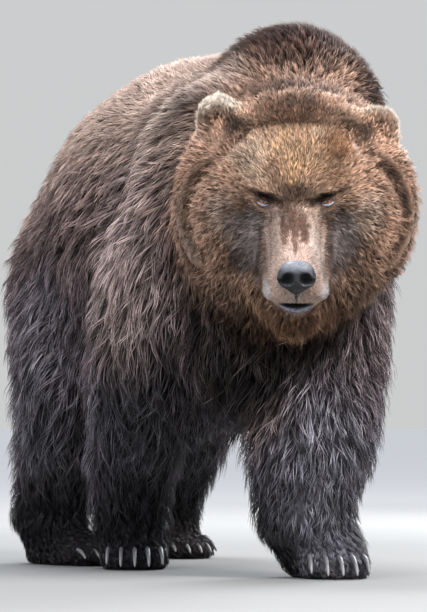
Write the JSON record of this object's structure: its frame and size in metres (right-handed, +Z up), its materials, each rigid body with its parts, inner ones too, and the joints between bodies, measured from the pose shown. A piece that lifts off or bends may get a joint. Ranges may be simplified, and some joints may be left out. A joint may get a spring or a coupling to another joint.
{
  "type": "brown bear",
  "caption": "Life-size still model of a walking brown bear with its head turned and held low, in named solids of coat outline, eyes, nose and claws.",
  "frame": {"origin": "on the floor, at the middle of the bear's bounding box", "axes": "+Z up; the bear faces -Y; +X is the bear's left"},
  "size_m": [0.6998, 1.8596, 1.2755],
  "materials": {
    "coat_face": "short dense tan and golden-brown fur",
    "coat_body": "long shaggy brown fur",
    "coat_legs": "long dark chocolate-brown fur",
    "nose": "damp dark grey nose leather",
    "eyes": "glossy orange-brown eye",
    "claws": "smooth ivory and grey horn"
  },
  "bodies": {
    "root": {"claw_front_left_1": "claws", "claw_front_left_2": "claws", "claw_front_left_3": "claws", "claw_front_left_4": "claws", "claw_front_left_5": "claws", "claw_front_right_1": "claws", "claw_front_right_2": "claws", "claw_front_right_3": "claws", "claw_front_right_4": "claws", "claw_front_right_5": "claws", "claw_hind_left_1": "claws", "claw_hind_left_2": "claws", "claw_hind_left_3": "claws", "claw_hind_left_4": "claws", "claw_hind_left_5": "claws", "claw_hind_right_1": "claws", "claw_hind_right_2": "claws", "claw_hind_right_3": "claws", "claw_hind_right_4": "claws", "claw_hind_right_5": "claws", "ear_left": "coat_face", "ear_right": "coat_face", "eye_left": "eyes", "eye_right": "eyes", "front_paw_left": "coat_legs", "front_paw_right": "coat_legs", "head": "coat_face", "hind_foot_left": "coat_legs", "hind_foot_right": "coat_legs", "lower_front_leg_left": "coat_legs", "lower_front_leg_right": "coat_legs", "lower_hind_leg_left": "coat_legs", "lower_hind_leg_right": "coat_legs", "lower_jaw": "coat_face", "neck": "coat_body", "nose_pad": "nose", "tail": "coat_body", "trunk": "coat_body", "upper_front_leg_left": "coat_body", "upper_front_leg_right": "coat_body", "upper_hind_leg_left": "coat_body", "upper_hind_leg_right": "coat_body"}
  },
  "joints": []
}
